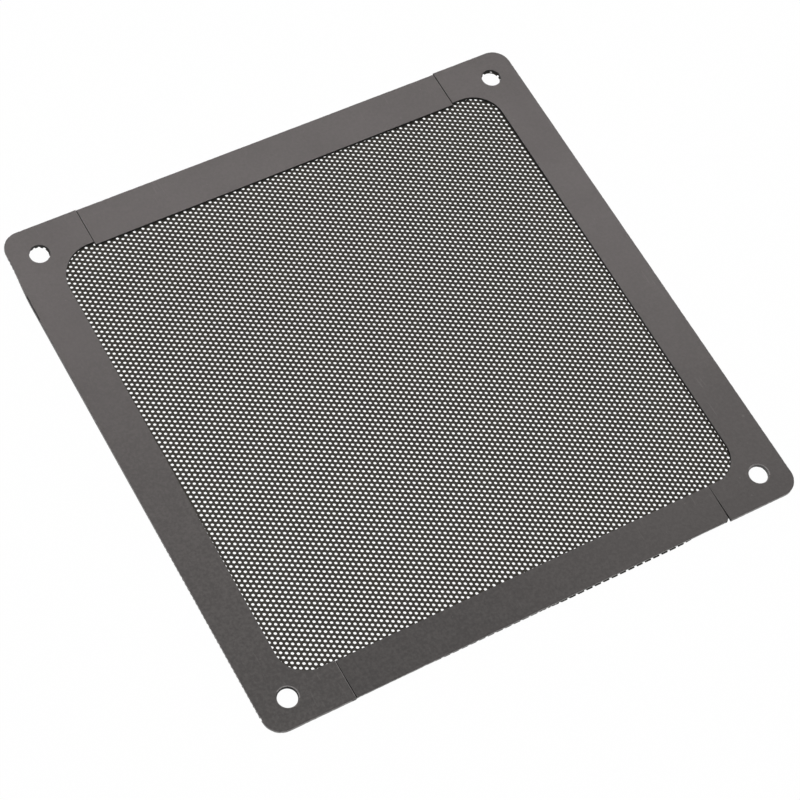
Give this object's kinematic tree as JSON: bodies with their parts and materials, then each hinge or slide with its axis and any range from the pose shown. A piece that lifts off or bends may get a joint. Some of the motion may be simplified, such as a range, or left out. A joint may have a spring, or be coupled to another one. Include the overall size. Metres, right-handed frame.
{
  "type": "fan dust filter",
  "caption": "Magnetic dust filter for a 140 mm fan: a perforated sheet with a flat frame of flexible magnetic strips and a screw hole in each corner.",
  "frame": {"origin": "centre of the perforated sheet's underside", "axes": "+Z out of the magnetic face, +X across the frame, +Y along the two side strips"},
  "size_m": [0.1396, 0.1396, 0.0012],
  "materials": {
    "magnetic_strip": "matte, fine mottled grain",
    "perforated_plastic": "matte black"
  },
  "bodies": {
    "root": {"perforated_sheet": "perforated_plastic", "left_side_strip": "magnetic_strip", "right_side_strip": "magnetic_strip", "rear_middle_strip": "magnetic_strip", "front_middle_strip": "magnetic_strip"}
  },
  "joints": []
}
